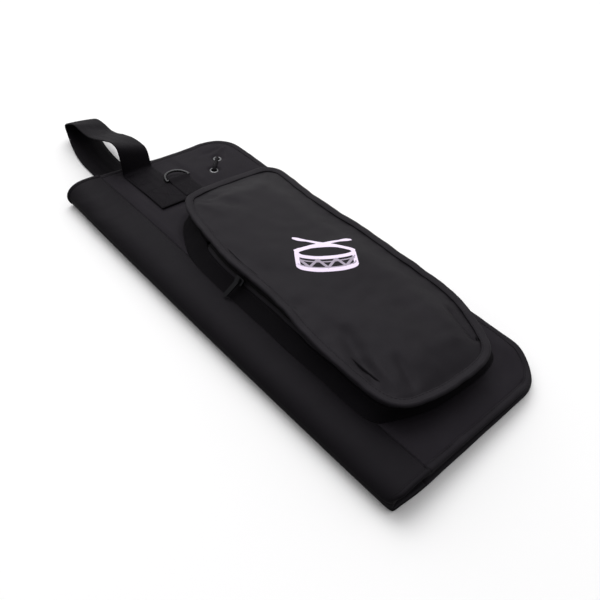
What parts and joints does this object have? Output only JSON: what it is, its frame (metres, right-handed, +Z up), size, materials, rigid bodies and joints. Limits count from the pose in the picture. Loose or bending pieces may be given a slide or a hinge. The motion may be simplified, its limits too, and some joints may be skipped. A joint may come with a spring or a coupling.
{
  "type": "drum stick bag",
  "caption": "Padded fold-over bag for drum sticks, closed and lying on its back, with a zipped accessory pocket, a webbing loop handle, a metal ring and a grommeted hanging cord.",
  "frame": {"origin": "centre of the closed bag's rest rectangle, on the flat underside of the back half, which is its face that lies down", "axes": "+Y along the bag towards the handle, +X from the spine fold towards the zipped opening edge, +Z up out of the front with the pocket"},
  "size_m": [0.208, 0.5981, 0.0503],
  "materials": {
    "pack_cloth": "woven nylon pack cloth, slight sheen",
    "lining_cloth": "smooth lining cloth",
    "foam": "closed-cell foam sheet",
    "binding_tape": "woven edge tape with a stitch line",
    "webbing": "ribbed nylon webbing",
    "zip_tape": "woven zipper tape",
    "zip_coil": "moulded nylon coil",
    "black_metal": "black enamelled zinc",
    "chrome": "polished nickel plate",
    "cord": "braided cord"
  },
  "bodies": {
    "back_half": {"back_outer_cloth": "pack_cloth", "back_spine_strip": "pack_cloth", "back_foam": "foam", "back_lining": "lining_cloth", "back_binding": "binding_tape", "handle_back_leg": "webbing", "main_zip_tape_back": "zip_tape", "main_zip_coil_back": "zip_coil", "back_stick_sleeve": "lining_cloth", "back_sleeve_hem": "binding_tape"},
    "spine": {"spine_wall": "pack_cloth", "spine_foam": "foam", "spine_lining": "lining_cloth", "handle_loop": "webbing"},
    "front_half": {"front_outer_cloth": "pack_cloth", "front_spine_strip": "pack_cloth", "front_foam": "foam", "front_lining": "lining_cloth", "front_binding": "binding_tape", "handle_front_leg": "webbing", "main_zip_tape_front": "zip_tape", "main_zip_coil_front": "zip_coil", "front_stick_sleeve": "lining_cloth", "front_sleeve_hem": "binding_tape", "d_ring_tab": "webbing", "grommets": "chrome", "grommet_washers": "chrome", "hanging_cord": "cord", "cord_knots": "cord", "pocket_gusset": "pack_cloth", "pocket_zip_tape_lower": "zip_tape", "pocket_zip_coil_lower": "zip_coil"},
    "pocket_cover": {"pocket_lid": "pack_cloth", "pocket_lid_binding": "binding_tape", "pocket_gusset_upper": "pack_cloth", "pocket_zip_tape_upper": "zip_tape", "pocket_zip_coil_upper": "zip_coil"},
    "pocket_zip_slider": {"pocket_slider": "black_metal"},
    "pocket_zip_pull": {"pocket_pull": "black_metal"},
    "ring": {"d_ring": "chrome"},
    "zip_slider_handle_end": {"main_slider_handle_end": "black_metal"},
    "zip_pull_handle_end": {"main_pull_handle_end": "black_metal"},
    "zip_slider_foot_end": {"main_slider_foot_end": "black_metal"},
    "zip_pull_foot_end": {"main_pull_foot_end": "black_metal"}
  },
  "joints": [
    {"name": "front_fold", "type": "hinge", "parent": "spine", "child": "front_half", "pos_m": [-0.1042, 0, 0.0246], "axis": [0, -1, 0], "range_deg": [0, 150]},
    {"name": "spine_fold", "type": "hinge", "parent": "back_half", "child": "spine", "pos_m": [-0.1042, 0, 0.001], "axis": [0, -1, 0], "range_deg": [0, 22.5]},
    {"name": "pocket_cover_hinge", "type": "hinge", "parent": "front_half", "child": "pocket_cover", "pos_m": [0.08212, 0, 0.0295], "axis": [0, 1, 0], "range_deg": [0, 80]},
    {"name": "pocket_slider_slide", "type": "slide", "parent": "front_half", "child": "pocket_zip_slider", "axis": [0, 1, 0], "range_m": [-0.168, 0.025]},
    {"name": "pocket_pull_swing", "type": "hinge", "parent": "pocket_zip_slider", "child": "pocket_zip_pull", "pos_m": [-0.06, -0.003, 0.04128], "axis": [-0.7595, 0, 0.6506], "range_deg": [-80, 80]},
    {"name": "d_ring_swing", "type": "hinge", "parent": "front_half", "child": "ring", "pos_m": [0.00246, 0.184, 0.0212], "axis": [0.9979, 0, -0.0648], "range_deg": [0, 150]},
    {"name": "main_slider_handle_end_slide", "type": "slide", "parent": "back_half", "child": "zip_slider_handle_end", "axis": [0, 1, 0], "range_m": [0, 0.225]},
    {"name": "main_pull_handle_end_swing", "type": "hinge", "parent": "zip_slider_handle_end", "child": "zip_pull_handle_end", "pos_m": [0.10015, -0.032, 0.00614], "axis": [0, 0, -1], "range_deg": [0, 100]},
    {"name": "main_slider_foot_end_slide", "type": "slide", "parent": "back_half", "child": "zip_slider_foot_end", "axis": [0, -1, 0], "range_m": [0, 0.15]},
    {"name": "main_pull_foot_end_swing", "type": "hinge", "parent": "zip_slider_foot_end", "child": "zip_pull_foot_end", "pos_m": [0.10015, -0.046, 0.00614], "axis": [0, 0, 1], "range_deg": [0, 100]}
  ],
  "couplings": [
    {"joint": "spine_fold", "follows": "front_fold", "ratio": 0.15}
  ]
}
